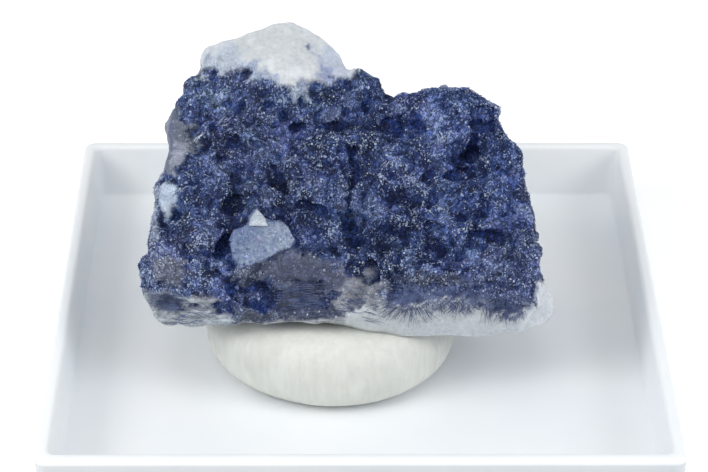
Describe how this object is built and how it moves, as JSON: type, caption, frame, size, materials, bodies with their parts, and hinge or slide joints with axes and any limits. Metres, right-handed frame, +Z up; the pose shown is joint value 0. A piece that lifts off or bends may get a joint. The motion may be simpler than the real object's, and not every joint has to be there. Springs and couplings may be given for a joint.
{
  "type": "dumortierite mineral specimen in display box base",
  "caption": "Rough blue dumortierite crust on pale quartz, held by a putty pad in the open, shallow square base of a small display box.",
  "frame": {"origin": "centre of the tray's underside, on the surface it stands on", "axes": "+X to the right along the tray, +Y away from the viewer, +Z up"},
  "size_m": [0.051, 0.051, 0.0262],
  "materials": {
    "white_plastic": "smooth moulded, slightly satin",
    "putty": "matte hand-pressed putty",
    "stone": "sparkling blue crust on milky quartz"
  },
  "bodies": {
    "root": {"display_tray": "white_plastic", "mineral_tack": "putty", "dumortierite_specimen": "stone"}
  },
  "joints": []
}
